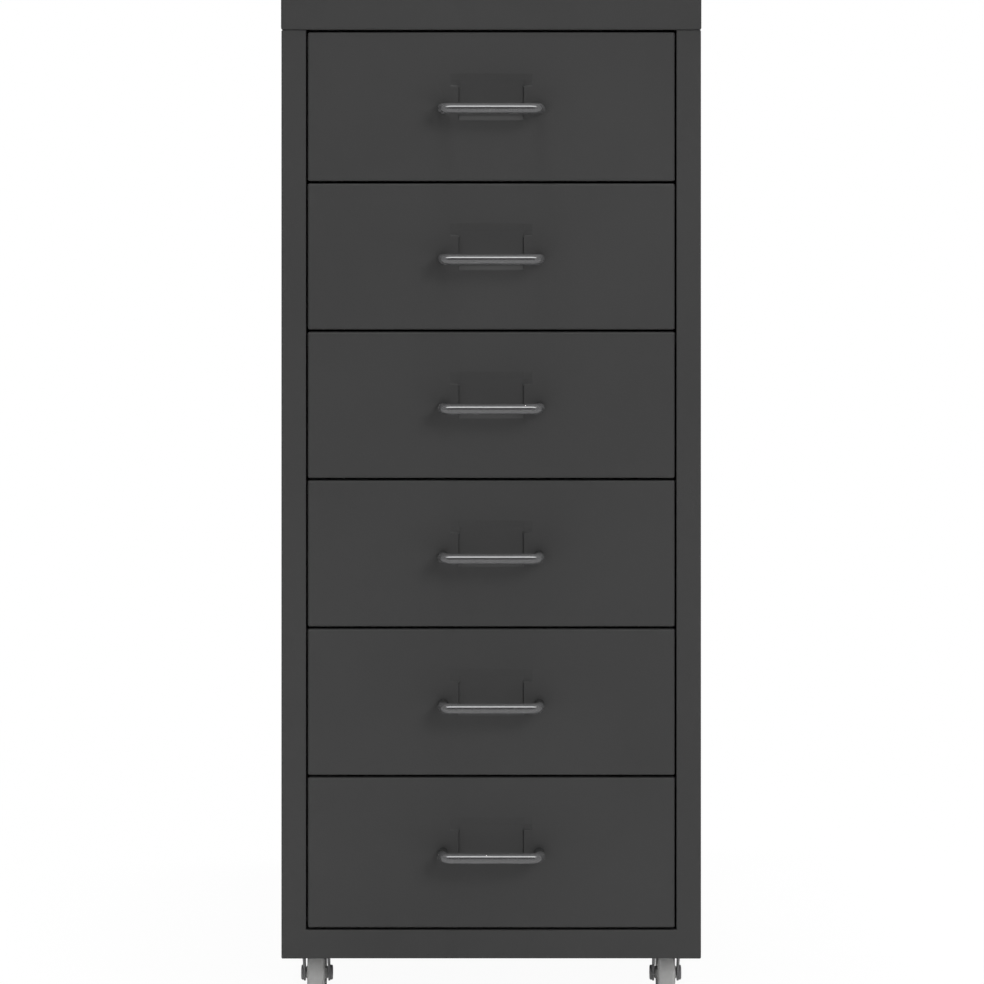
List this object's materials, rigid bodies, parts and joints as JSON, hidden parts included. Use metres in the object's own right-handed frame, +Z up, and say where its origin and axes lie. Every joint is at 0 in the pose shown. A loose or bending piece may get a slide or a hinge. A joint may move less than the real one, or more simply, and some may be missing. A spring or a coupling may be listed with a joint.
{
  "type": "drawer cabinet",
  "caption": "Narrow painted steel cabinet on swivel casters, with inset drawers that slide out, wire bow handles and a pressed card holder on each drawer front.",
  "frame": {"origin": "on the floor, under the middle of the outline of the cabinet with its handles and rear screw heads", "axes": "+Z up; the drawers open towards -Y; +X is to the right of someone who faces the drawers"},
  "size_m": [0.28, 0.43, 0.69],
  "materials": {
    "grey_paint": "dark grey powder coat, satin",
    "chromed_wire": "bright chromed steel wire",
    "zinc_steel": "zinc plated steel, dull",
    "grey_plastic": "mid grey moulded plastic"
  },
  "bodies": {
    "case": {"back_panel": "grey_paint", "back_screws": "zinc_steel", "base_panel": "grey_paint", "caster_nuts": "zinc_steel", "cover_screws": "zinc_steel", "front_left_caster_mount": "zinc_steel", "front_right_caster_mount": "zinc_steel", "left_runner_1": "grey_paint", "left_runner_2": "grey_paint", "left_runner_3": "grey_paint", "left_runner_4": "grey_paint", "left_runner_5": "grey_paint", "left_runner_6": "grey_paint", "left_side_panel": "grey_paint", "rear_left_caster_mount": "zinc_steel", "rear_right_caster_mount": "zinc_steel", "right_runner_1": "grey_paint", "right_runner_2": "grey_paint", "right_runner_3": "grey_paint", "right_runner_4": "grey_paint", "right_runner_5": "grey_paint", "right_runner_6": "grey_paint", "right_side_panel": "grey_paint", "top_cover": "grey_paint"},
    "drawer_1": {"drawer_1_front": "grey_paint", "drawer_1_handle": "chromed_wire", "drawer_1_handle_screws": "zinc_steel", "drawer_1_tray": "grey_paint"},
    "drawer_2": {"drawer_2_front": "grey_paint", "drawer_2_handle": "chromed_wire", "drawer_2_handle_screws": "zinc_steel", "drawer_2_tray": "grey_paint"},
    "drawer_3": {"drawer_3_front": "grey_paint", "drawer_3_handle": "chromed_wire", "drawer_3_handle_screws": "zinc_steel", "drawer_3_tray": "grey_paint"},
    "drawer_4": {"drawer_4_front": "grey_paint", "drawer_4_handle": "chromed_wire", "drawer_4_handle_screws": "zinc_steel", "drawer_4_tray": "grey_paint"},
    "drawer_5": {"drawer_5_front": "grey_paint", "drawer_5_handle": "chromed_wire", "drawer_5_handle_screws": "zinc_steel", "drawer_5_tray": "grey_paint"},
    "drawer_6": {"drawer_6_front": "grey_paint", "drawer_6_handle": "chromed_wire", "drawer_6_handle_screws": "zinc_steel", "drawer_6_tray": "grey_paint"},
    "front_left_caster_swivel": {"front_left_caster_axle": "zinc_steel", "front_left_caster_fork": "zinc_steel"},
    "front_left_caster_roller": {"front_left_caster_wheel": "grey_plastic"},
    "front_right_caster_swivel": {"front_right_caster_axle": "zinc_steel", "front_right_caster_fork": "zinc_steel"},
    "front_right_caster_roller": {"front_right_caster_wheel": "grey_plastic"},
    "rear_left_caster_swivel": {"rear_left_caster_axle": "zinc_steel", "rear_left_caster_fork": "zinc_steel"},
    "rear_left_caster_roller": {"rear_left_caster_wheel": "grey_plastic"},
    "rear_right_caster_swivel": {"rear_right_caster_axle": "zinc_steel", "rear_right_caster_fork": "zinc_steel"},
    "rear_right_caster_roller": {"rear_right_caster_wheel": "grey_plastic"}
  },
  "joints": [
    {"name": "drawer_1_slide", "type": "slide", "parent": "case", "child": "drawer_1", "axis": [0, -1, 0], "range_m": [0, 0.3]},
    {"name": "drawer_2_slide", "type": "slide", "parent": "case", "child": "drawer_2", "axis": [0, -1, 0], "range_m": [0, 0.3]},
    {"name": "drawer_3_slide", "type": "slide", "parent": "case", "child": "drawer_3", "axis": [0, -1, 0], "range_m": [0, 0.3]},
    {"name": "drawer_4_slide", "type": "slide", "parent": "case", "child": "drawer_4", "axis": [0, -1, 0], "range_m": [0, 0.3]},
    {"name": "drawer_5_slide", "type": "slide", "parent": "case", "child": "drawer_5", "axis": [0, -1, 0], "range_m": [0, 0.3]},
    {"name": "drawer_6_slide", "type": "slide", "parent": "case", "child": "drawer_6", "axis": [0, -1, 0], "range_m": [0, 0.3]},
    {"name": "front_left_caster_turn", "type": "hinge", "parent": "case", "child": "front_left_caster_swivel", "pos_m": [-0.1182, -0.1555, 0.045], "axis": [0, 0, 1], "continuous": true},
    {"name": "front_left_caster_roll", "type": "hinge", "parent": "front_left_caster_swivel", "child": "front_left_caster_roller", "pos_m": [-0.1182, -0.1395, 0.019], "axis": [1, 0, 0], "continuous": true},
    {"name": "front_right_caster_turn", "type": "hinge", "parent": "case", "child": "front_right_caster_swivel", "pos_m": [0.1182, -0.1555, 0.045], "axis": [0, 0, 1], "continuous": true},
    {"name": "front_right_caster_roll", "type": "hinge", "parent": "front_right_caster_swivel", "child": "front_right_caster_roller", "pos_m": [0.1182, -0.1395, 0.019], "axis": [1, 0, 0], "continuous": true},
    {"name": "rear_left_caster_turn", "type": "hinge", "parent": "case", "child": "rear_left_caster_swivel", "pos_m": [-0.1182, 0.1775, 0.045], "axis": [0, 0, 1], "continuous": true},
    {"name": "rear_left_caster_roll", "type": "hinge", "parent": "rear_left_caster_swivel", "child": "rear_left_caster_roller", "pos_m": [-0.1182, 0.1615, 0.019], "axis": [1, 0, 0], "continuous": true},
    {"name": "rear_right_caster_turn", "type": "hinge", "parent": "case", "child": "rear_right_caster_swivel", "pos_m": [0.1182, 0.1775, 0.045], "axis": [0, 0, 1], "continuous": true},
    {"name": "rear_right_caster_roll", "type": "hinge", "parent": "rear_right_caster_swivel", "child": "rear_right_caster_roller", "pos_m": [0.1182, 0.1615, 0.019], "axis": [1, 0, 0], "continuous": true}
  ]
}
